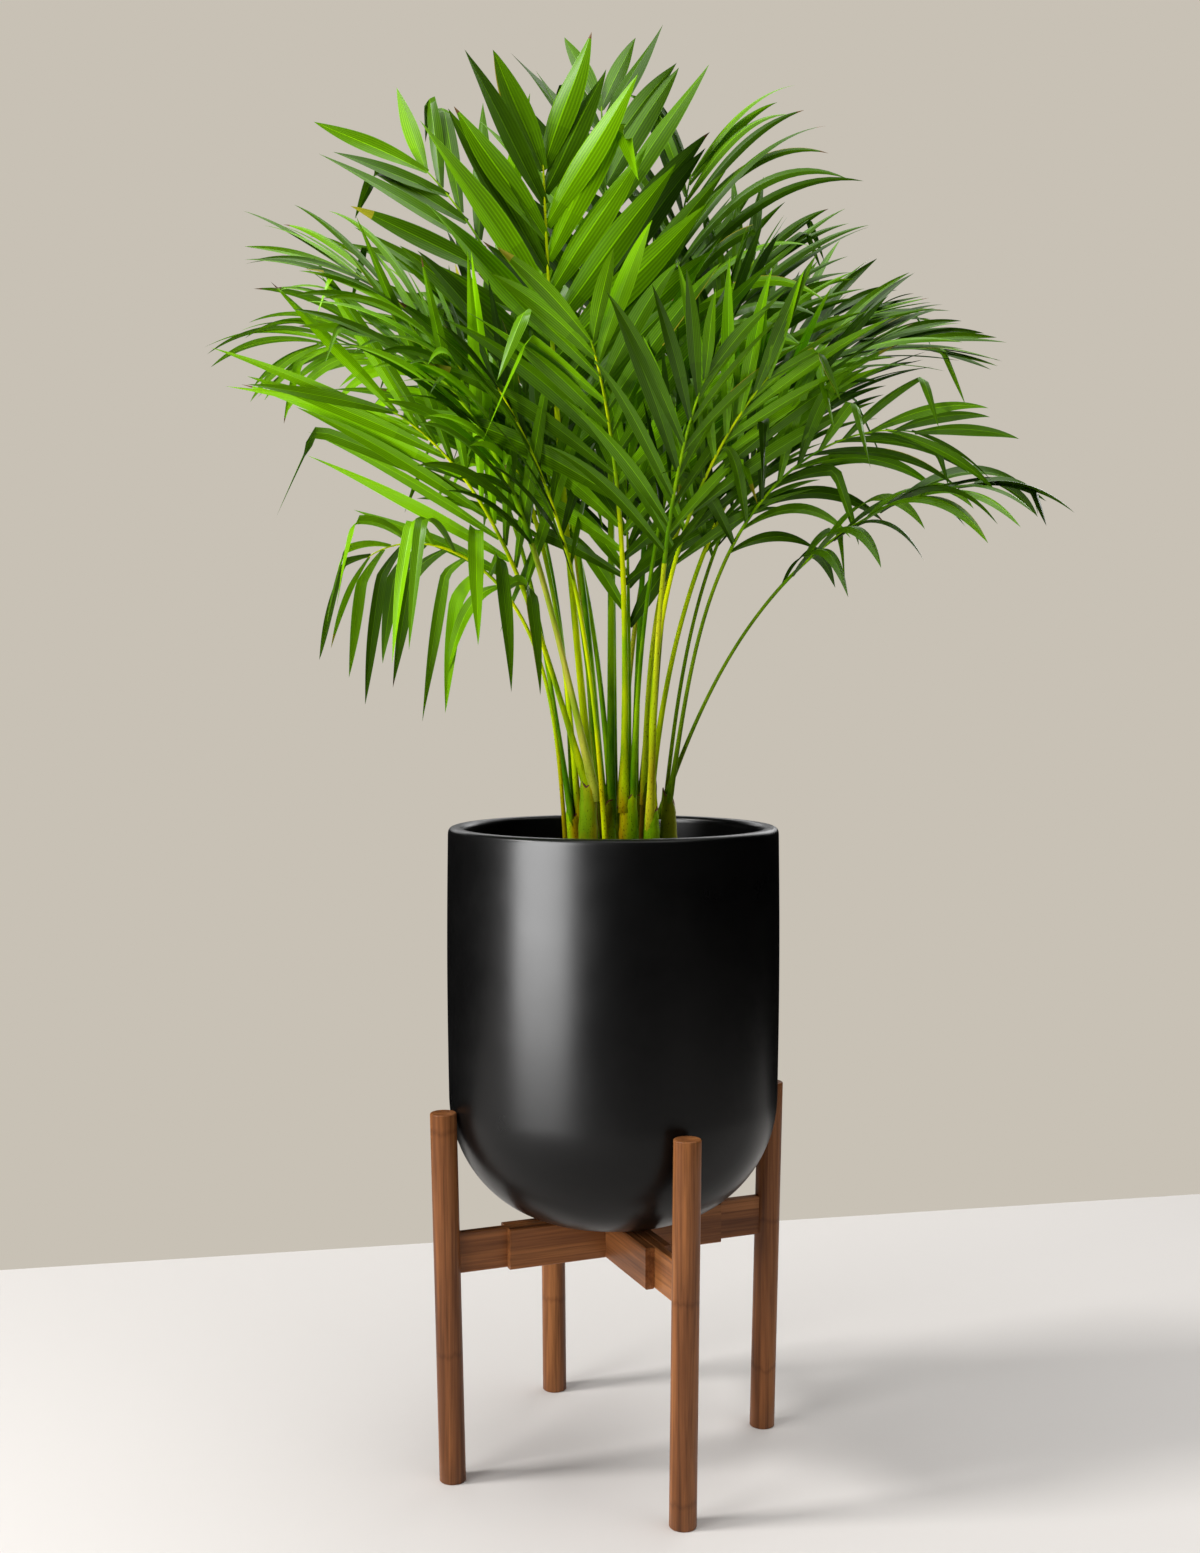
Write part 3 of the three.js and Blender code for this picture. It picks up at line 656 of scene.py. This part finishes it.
def side_profile(offset, top, steps):
    """Profile of the pot's side from its foot to a height, at an offset inside the outer face."""
    foot = POT_FOOT + offset
    profile = [(0, foot)]
    for i in range(steps + 1):
        fall = math.pi / 2 * (1 - i / steps)
        height = SIDE_FOOT - (SIDE_FOOT - foot) * math.sin(fall)
        profile.append((pot_radius(height, offset), height))
    for i in range(1, steps // 2 + 1):
        height = SIDE_FOOT + (top - SIDE_FOOT) * i / (steps // 2)
        profile.append((pot_radius(height, offset), height))
    return profile


def build_pot():
    """The hollow pot with a rounded rim."""
    outside = side_profile(0, RIM_TOP - RIM_ROUND, OUTER_STEPS)
    inside = side_profile(POT_WALL, RIM_TOP - RIM_ROUND, INNER_STEPS)[::-1]
    middle = POT_RADIUS - POT_WALL / 2
    rim = []
    for i in range(1, RIM_STEPS):
        turn = math.pi * i / RIM_STEPS
        flat = abs(math.cos(turn)) ** RIM_SQUARE * math.copysign(1, math.cos(turn))
        height = RIM_TOP - RIM_ROUND * (1 - math.sin(turn) ** RIM_SQUARE)
        rim.append((middle + POT_WALL / 2 * flat, height))
    points, faces = turned_mesh([*outside, *rim, *inside], POT_TURNS)
    add_piece("pot_shell", on_axis(points), faces, [pot_material()], ["pot"])


def soil_relief(x, y, height):
    """Uneven surface of the soil, nothing at the wall and below the top."""
    if height < SOIL_TOP:
        return 0
    inward = POT_RADIUS - POT_WALL - SOIL_EDGE - math.hypot(x, y)
    bumps = 0
    for waves, layer, rise in SOIL_BUMPS:
        bumps += noise.noise(Vector((x * waves, y * waves, layer))) * rise
    return min(1, max(0, inward / SOIL_RISE)) * (bumps - SOIL_SUNK)


def add_chip(points, faces, centre, size, chance):
    """Adds a small bark chip."""
    first = len(points)
    turn = Quaternion((chance.uniform(-1, 1), chance.uniform(-1, 1), 1), chance.uniform(0, CHIP_TURN))
    for x, y, z in CHIP_CORNERS:
        length = x * size * chance.uniform(*CHIP_LENGTHS)
        points.append(centre + turn @ Vector((length, y * size * CHIP_WIDTH, z * size * CHIP_THICK)))
    faces.extend(tuple(first + corner for corner in face) for face in CHIP_FACES)


def build_soil():
    """The soil with an uneven surface, and loose chips of bark on it."""
    profile = side_profile(POT_WALL + GAP, SOIL_TOP - SOIL_SHOULDER, SOIL_STEPS)
    edge = POT_RADIUS - POT_WALL - GAP
    profile.extend((edge * (1 - i / SOIL_RINGS), SOIL_TOP) for i in range(SOIL_RINGS + 1))
    points, faces = turned_mesh(profile, SOIL_TURNS, soil_relief)
    chance = random.Random(7)
    for _ in range(CHIP_COUNT):
        reach = CHIP_REACH * math.sqrt(chance.random())
        turn = chance.uniform(0, 2 * math.pi)
        x = reach * math.cos(turn)
        y = reach * math.sin(turn)
        place = Vector((x, y, SOIL_TOP + soil_relief(x, y, SOIL_TOP) + CHIP_LIFT))
        add_chip(points, faces, place, chance.uniform(*CHIP_SIZES), chance)
    add_piece("soil_surface", on_axis(points), faces, [soil_material()], ["soil"])


# Stand

def leg_profile():
    """Profile of an upright leg, with eased ends."""
    profile = [(0, 0), (LEG_RADIUS - LEG_FOOT_EDGE, 0), (LEG_RADIUS, LEG_FOOT_EDGE)]
    profile.extend((LEG_RADIUS, LEG_HEIGHT * i / LEG_RINGS) for i in range(1, LEG_RINGS))
    for i in range(LEG_EDGE_STEPS + 1):
        rise = math.pi / 2 * i / LEG_EDGE_STEPS
        radius = LEG_RADIUS - LEG_EDGE * (1 - math.cos(rise))
        profile.append((radius, LEG_HEIGHT - LEG_EDGE * (1 - math.sin(rise))))
    profile.append((0, LEG_HEIGHT))
    return profile


def build_legs():
    """The round legs, each leaning out, with knuckle marks."""
    points, faces = turned_mesh(leg_profile(), LEG_SIDES)
    for name, turn in LEG_TURNS.items():
        heading = Quaternion(UP, math.radians(turn))
        placed = []
        for point in points:
            out = LEG_CIRCLE + LEG_SPLAY * point.z / LEG_HEIGHT
            placed.append(heading @ (point + Vector((out, 0, 0))))
        material = wood_material(f"wood_leg_{name}", 0, True, LEG_KNUCKLES[name])
        add_piece(f"leg_round_{name}", on_axis(placed), faces, [material], [f"leg_{name}"])


def dress_planks():
    """Wood for the planks, with the grain along each beam."""
    for name, (leg, nodes) in BEAMS.items():
        material = wood_material(f"wood_{name}_beam", LEG_TURNS[leg], False)
        for node in nodes:
            mesh = frame["nodes"][node].data
            mesh.materials.clear()
            mesh.materials.append(material)


# Plant

def chances(seed):
    """Repeatable chance values from 0 to 1 for a leaflet, as in the part's source."""
    values = []
    state = seed
    for _ in range(6):
        state = (state * CHANCE_FACTOR + CHANCE_ADDED) % CHANCE_RANGE
        values.append(state / CHANCE_RANGE)
    return values[2:]


def frond_foot(frond):
    """Foot of a frond: the top of its cane, or the soil."""
    x, y, _, top, seats, first = CANES[frond["cane"]]
    turn = math.radians(first + 360 * frond["seat"] / seats)
    out = SEAT_RADIUS[seats]
    return Vector((x + out * math.cos(turn), y + out * math.sin(turn), top + GAP))


def rib_stations(frond):
    """Stations along a rib, each with its share, place, heading, blade normal and side."""
    turn = math.radians(frond["turn"])
    sideways = Vector((math.sin(turn), -math.cos(turn), 0))

    def heading(share):
        tilt = math.radians(frond["lean"] + frond["arch"] * share ** frond["bend"])
        return Vector((math.sin(tilt) * math.cos(turn), math.sin(tilt) * math.sin(turn), math.cos(tilt)))

    place = frond_foot(frond)
    stations = []
    for i in range(RIB_STEPS + 1):
        share = i / RIB_STEPS
        if i > 0:
            place = place + heading(share - 0.5 / RIB_STEPS) * (frond["length"] / RIB_STEPS)
        along = heading(share)
        roll = math.radians(frond["roll"]) * min(1, share / frond["bare"]) ** 2
        side = Quaternion(along, -roll) @ sideways
        stations.append((share, place, along, side.cross(along), side))
    return stations


def rib_at(stations, share):
    """Place, heading, normal and side at a share of a rib's length."""
    step = min(RIB_STEPS - 1, int(share * RIB_STEPS))
    mixed = share * RIB_STEPS - step
    before, after = stations[step], stations[step + 1]
    place = before[1].lerp(after[1], mixed)
    along, normal, side = (before[i].lerp(after[i], mixed).normalized() for i in (2, 3, 4))
    return place, along, normal, side


def stem_radius(share, bare, sunk):
    """Radius of a petiole and its rib: swollen at the foot, fine at the tip."""
    if share < bare:
        radius = PETIOLE_RADIUS + (RIB_RADIUS - PETIOLE_RADIUS) * (share / bare) ** 0.8
    else:
        radius = RIB_RADIUS + (TIP_RADIUS - RIB_RADIUS) * (share - bare) / (1 - bare)
    return radius + FOOT_SWELL * math.exp(-sunk / FOOT_REACH)


def hanging_run(root, heading, length, droop, kink):
    """Places and headings along a leaflet that droops. Past the share named kink, it folds over and hangs."""
    places = [root - heading * ROOT_SUNK]
    ways = [heading]
    place = root
    for i in range(LEAF_STEPS):
        gone = (i + 0.5) / LEAF_STEPS
        fold = KINK_DROP * min(1, max(0, (gone - kink) / KINK_SPAN))
        way = (heading - UP * (droop * gone**1.4 + fold)).normalized()
        place = place + way * (length / LEAF_STEPS)
        places.append(place)
        ways.append(way)
    return places, ways


def leaflet_run(frond, number, stations, slot, hand, kink):
    """How a leaflet runs from the side of the rib: its places, headings, side and width."""
    *_, stoutness = FROND_LOOKS[frond["name"]]
    share = slot / (2 * (frond["pairs"] - 1))
    later = RIGHT_LATER / frond["pairs"] if hand > 0 else 0
    spot = min(1, frond["bare"] + (1 - frond["bare"]) * (LAST_PAIR * share + later))
    chance = chances(number * 1000 + slot * 10 + hand + 1)
    low = LOW_SHORTER * (1 - min(1, share / LOW_SHARE))
    high = TIP_SHORTER * max(0, (share - 0.5) / 0.5) ** 1.5
    size = 1 - low - high
    length = frond["leaf"] * size * (LENGTH_LEAST + LENGTH_CHANCE * chance[0])
    opening = (OPEN_FOOT - OPEN_FALL * share**1.2) * frond["spread"] + OPEN_CHANCE * (chance[1] - 0.5)
    lift = frond["lift"] * (1 - LIFT_FALL * share) + LIFT_CHANCE * (chance[2] - 0.5)
    droop = DROOP_SCALE * frond["droop"] * (DROOP_LEAST + DROOP_CHANCE * chance[3] - DROOP_FALL * share)
    opening = math.radians(opening)
    lift = math.radians(lift)
    place, along, normal, side = rib_at(stations, spot)
    outward = side * (hand * math.cos(lift)) + normal * math.sin(lift)
    heading = along * math.cos(opening) + outward * math.sin(opening)
    across = (along - heading * along.dot(heading)).normalized()
    radius = stem_radius(spot, frond["bare"], spot * frond["length"])
    root = place + side * (hand * ROOT_OUT * stoutness * radius)
    places, ways = hanging_run(root, heading, length, droop, kink)
    return places, ways, across, frond["width"] * (WIDTH_LEAST + WIDTH_BY_SIZE * size)


def width_share(share):
    """A leaflet's width along it: a narrow root, nearly even sides, and a fine tip."""
    swell = math.sin(math.pi / 2 * min(1, share / LEAF_WIDEST))
    taper = max(0, (share - LEAF_TAPER) / (1 - LEAF_TAPER)) ** 1.7
    return (LEAF_ROOT + (1 - LEAF_ROOT) * swell) * (1 - taper)


def leaf_section():
    """Cross-section of a leaflet from edge to edge, as (place, height) in half widths."""
    section = []
    for k in range(LEAF_STRIPS + 1):
        place = 2 * k / LEAF_STRIPS - 1
        groove = abs(2 * k - LEAF_STRIPS) // 2 % 2
        section.append((place, -LEAF_ROOF * abs(place) ** 1.3 - LEAF_PLEAT * groove))
    return section


def tone_pick(tone):
    """Number of the leaf colour that is nearest to a tone."""
    return max(0, min(LEAF_TONES - 1, round(tone / DARKEST * (LEAF_TONES - 1))))


def strip_pick(strip, share, tone):
    """Number of the colour of a leaflet's strip, at a share of the leaflet's length."""
    if strip == LEAF_STRIPS // 2:
        return tone_pick(tone - MIDRIB_PALER)
    # Painted shade, darkest at the leaflet's root.
    root_shade = ROOT_PAINTED_SHADE * (1 - min(1, share / ROOT_SHADE_TO))
    return tone_pick(tone + root_shade + STRIP_DARKER * (abs(strip - LEAF_STRIPS // 2) % 2))


def leaflet_points(run, section, widen, chance):
    """Corners of a leaflet, row by row from its root, and its tip: pleated and twisted."""
    places, ways, across, width = run
    twist_end = math.radians(chance.uniform(-LEAF_TWIST, LEAF_TWIST))
    wave = chance.uniform(0, 2 * math.pi)
    half = width * widen * chance.uniform(*LEAF_WIDTHS) / 2
    points = []
    for i in range(LEAF_STEPS):
        share = i / LEAF_STEPS
        way = ways[i]
        twist = Quaternion(way, twist_end * share**1.3)
        level = twist @ (across - way * across.dot(way)).normalized()
        above = way.cross(level)
        reach = half * width_share(share)
        fold = ROOT_FOLD - FOLD_LOSS * min(1, share * FOLD_RATE)
        sway = LEAF_SWAY * math.sin(wave + SWAY_WAVE * share) * half
        for place, height in section:
            points.append(places[i] + level * (reach * place + sway) + above * (reach * height * fold))
    points.append(places[-1])
    return points


def add_leaflet(points, faces, picks, run, section, widen, tone, chance):
    """Adds the surface of one leaflet, with a paler midrib and now and then a yellowed or browned part."""
    first = len(points)
    points.extend(leaflet_points(run, section, widen, chance))
    tip = len(points) - 1
    row = len(section)
    browned = chance.random() < BROWN_TIPS
    yellow_from = YELLOW_TIP_FROM if chance.random() < YELLOW_TIPS else 1
    yellow_edge = chance.choice((0, LEAF_STRIPS - 1)) if chance.random() < YELLOW_EDGES else -1
    for i in range(LEAF_STEPS):
        share = i / LEAF_STEPS
        last = i == LEAF_STEPS - 1
        for strip in range(LEAF_STRIPS):
            one = first + i * row + strip
            faces.append((one, one + 1, tip) if last else (one, one + 1, one + row + 1, one + row))
            if browned and last:
                picks.append(LEAF_TONES + 1)
            elif share > yellow_from or (strip == yellow_edge and share > YELLOW_EDGE_FROM):
                picks.append(LEAF_TONES)
            else:
                picks.append(strip_pick(strip, share, tone))


def build_leaflets(frond, number, stations, materials):
    """All leaflets of a frond as one mesh."""
    name = frond["name"]
    tone, widen, between, _, _ = FROND_LOOKS[name]
    chance = random.Random(number)
    section = leaf_section()
    points, faces, picks = [], [], []
    for slot in range(0, 2 * frond["pairs"] - 1, 1 if between else 2):
        for hand in (-1, 1):
            kinked = chance.random() < KINKED.get(name, KINKED_SHARE)
            nearest = KINK_FROM.get(name, KINK_NEAREST)
            kink = chance.uniform(nearest, nearest + KINK_RANGE) if kinked else 1
            run = leaflet_run(frond, number, stations, slot, hand, kink)
            own_tone = tone + chance.uniform(-TONE_RANGE, TONE_RANGE)
            add_leaflet(points, faces, picks, run, section, widen, own_tone, chance)
    add_piece(f"leaflets_{name}", on_axis(points), faces, materials, [f"frond_{name}"], picks)


def add_stem(points, faces, picks, frond, stations, stoutness, pick, rib_pick):
    """Adds a petiole with its rib, from inside the cane or the soil to the tip."""
    first = len(points)
    _, foot, along, *sides = stations[0]
    _, _, cane_radius, *_ = CANES[frond["cane"]]
    depths = (PETIOLE_SUNK, PETIOLE_SUNK / 2) if cane_radius > 0 else (PETIOLE_SUNK / 2,)
    rings = [(0, foot - along * depth, along, *sides) for depth in depths]
    rings.extend(stations)
    for share, place, _, normal, side in rings:
        radius = stoutness * stem_radius(share, frond["bare"], share * frond["length"])
        ridge = min(1, share / frond["bare"]) ** 3
        for k in range(RIB_SIDES):
            turn = 2 * math.pi * k / RIB_SIDES
            upper = max(0, math.sin(turn))
            reach = radius * (1 - PETIOLE_FLAT * (1 - ridge) * upper**3 + RIB_RIDGE * ridge * upper**6)
            points.append(place + side * (reach * math.cos(turn)) + normal * (reach * math.sin(turn)))
    last = first + (len(rings) - 1) * RIB_SIDES
    for start in range(first, last, RIB_SIDES):
        faces.extend(ring_faces(start, start + RIB_SIDES, RIB_SIDES))
    faces.append(tuple(reversed(range(first, first + RIB_SIDES))))
    faces.append(tuple(range(last, last + RIB_SIDES)))
    for share, *_ in rings[1:]:
        picks.extend([rib_pick if share > frond["bare"] else pick] * RIB_SIDES)
    picks.extend((pick, rib_pick))


def add_cane(points, faces, picks, cane, tongue, pick, scar):
    """Adds a cane wrapped in a sheath: its mouth has a tongue, a dip across from it and a brown lip."""
    x, y, radius, top, _, _ = cane
    low = SOIL_TOP - CANE_SUNK
    first = len(points)
    for i in range(CANE_STEPS + 2):
        share = min(1, i / CANE_STEPS)
        for k in range(CANE_SIDES):
            turn = 2 * math.pi * k / CANE_SIDES
            facing = math.cos(turn - math.radians(tongue))
            slant = SHEATH_TONGUE * max(0, facing) ** 3 - SHEATH_DIP * max(0, -facing) ** 3
            height = low + (top - SHEATH_SHORT - low) * share + slant * share**3
            reach = radius * (1 - SHEATH_TAPER * share**2) + SHEATH_FLARE * (1 - share)
            reach += SHEATH_RING_HIGH * math.sin(share * math.pi * SHEATH_RINGS) ** 8
            if i > CANE_STEPS:
                height += SHEATH_LIP
                reach *= SHEATH_LIP_IN
            points.append(Vector((x + reach * math.cos(turn), y + reach * math.sin(turn), height)))
    last = first + (CANE_STEPS + 1) * CANE_SIDES
    for i, start in enumerate(range(first, last, CANE_SIDES)):
        faces.extend(ring_faces(start, start + CANE_SIDES, CANE_SIDES))
        picks.extend([scar if i == CANE_STEPS else pick] * CANE_SIDES)
    middle = len(points)
    points.append(Vector((x, y, top - MOUTH_DEPTH)))
    faces.extend((last + k, last + (k + 1) % CANE_SIDES, middle) for k in range(CANE_SIDES))
    picks.extend([scar] * CANE_SIDES)


def build_stems(fronds, runs):
    """Petioles and ribs as one mesh, and canes as another."""
    order = list(STEM_COLORS)
    materials = [stem_material(name) for name in order]
    points, faces, picks = [], [], []
    for frond, stations in zip(fronds, runs):
        _, _, _, color, stoutness = FROND_LOOKS[frond["name"]]
        rib_color = color if color == "lime" else "green"
        colors = (order.index(color), order.index(rib_color))
        add_stem(points, faces, picks, frond, stations, stoutness, *colors)
    nodes = [f"frond_{frond['name']}" for frond in fronds]
    add_piece("petioles_and_ribs", on_axis(points), faces, materials, nodes, picks)

    points, faces, picks = [], [], []
    for cane, (color, tongue) in zip(CANES, CANE_LOOKS):
        add_cane(points, faces, picks, cane, tongue, order.index(color), order.index("scar"))
    nodes = [f"cane_{number + 1}" for number in range(len(CANE_LOOKS))]
    add_piece("cane_sheaths", on_axis(points), faces, materials, nodes, picks)


def build_plant():
    """The canes, petioles, ribs and leaflets."""
    fronds = [dict(zip(FROND_KEYS, row)) for row in FRONDS]
    runs = [rib_stations(frond) for frond in fronds]
    materials = leaf_materials()
    for number, (frond, stations) in enumerate(zip(fronds, runs), 1):
        build_leaflets(frond, number, stations, materials)
    build_stems(fronds, runs)


# Stage, light and camera

def build_stage():
    """A plain pale floor whose far edge meets a plain pale background."""
    material, _ = new_material("floor_pale", FLOOR_COLOR, roughness=0.85, specular=0.2)
    corners = [
        (FLOOR_LEFT, FLOOR_NEAR, 0),
        (FLOOR_RIGHT, FLOOR_NEAR, 0),
        (FLOOR_RIGHT, FLOOR_FAR + FLOOR_SLOPE * FLOOR_RIGHT, 0),
        (FLOOR_LEFT, FLOOR_FAR + FLOOR_SLOPE * FLOOR_LEFT, 0),
    ]
    mesh = bpy.data.meshes.new("floor")
    mesh.from_pydata([AXIS + Vector(corner) for corner in corners], [], [(0, 1, 2, 3)])
    mesh.materials.append(material)
    floor = bpy.data.objects.new("floor", mesh)
    bpy.context.collection.objects.link(floor)
    world = bpy.data.worlds.new("background")
    bpy.context.scene.world = world
    world.use_nodes = True
    background = world.node_tree.nodes["Background"]
    background.inputs["Color"].default_value = (*WALL_COLOR, 1)
    background.inputs["Strength"].default_value = 1.0
    world.cycles_visibility.diffuse = False
    world.cycles_visibility.glossy = False


def add_light(name, azimuth, distance, height, aim, size, power, color):
    """A soft rectangular light that the camera doesn't see, with the values that LIGHTS explains."""
    data = bpy.data.lights.new(name, "AREA")
    data.shape = "RECTANGLE"
    data.size, data.size_y = size
    data.energy = power
    data.color = color
    light = bpy.data.objects.new(name, data)
    turn = math.radians(azimuth)
    light.location = AXIS + Vector((-math.sin(turn) * distance, -math.cos(turn) * distance, height))
    way = AXIS + Vector((0, 0, aim)) - light.location
    light.rotation_euler = way.to_track_quat("-Z", "Y").to_euler()
    light.visible_camera = False
    bpy.context.collection.objects.link(light)
    return light


def reach_only(name, pieces, *lights):
    """Keeps some lights to some pieces, by a collection with a name."""
    reached = bpy.data.collections.new(name)
    for piece in pieces:
        reached.objects.link(piece)
    for light in lights:
        light.light_linking.receiver_collection = reached


def build_lights():
    """A lamp at the left for the shadows and soft boxes around.

    One of the boxes is for the plant's back, and two only make reflections in the glaze.
    """
    lights = {name: add_light(name, *values) for name, values in LIGHTS.items()}
    for name in ("front", "right"):
        lights[name].visible_glossy = False
    for name in ("gloss", "rim"):
        lights[name].visible_diffuse = False
    plant = [piece for piece in bpy.data.objects if piece.name.startswith(PLANT_PIECES)]
    reach_only("plant", plant, lights["back"])
    reach_only("glazed", [bpy.data.objects["pot_shell"]], lights["gloss"], lights["rim"])


def build_camera():
    """The camera at the photograph's viewing angle."""
    data = bpy.data.cameras.new("camera")
    data.lens = CAMERA_LENS
    data.sensor_width = CAMERA_SENSOR
    camera = bpy.data.objects.new("camera", data)
    camera.location = AXIS + Vector((0, -CAMERA_BACK, CAMERA_HEIGHT)) * MM
    camera.rotation_euler = (math.radians(90 - CAMERA_PITCH), 0, math.radians(CAMERA_YAW))
    bpy.context.collection.objects.link(camera)
    bpy.context.scene.camera = camera


build_pot()
build_soil()
build_legs()
dress_planks()
build_plant()
build_stage()
build_lights()
build_camera()
bpy.context.scene.view_settings.view_transform = "Standard"
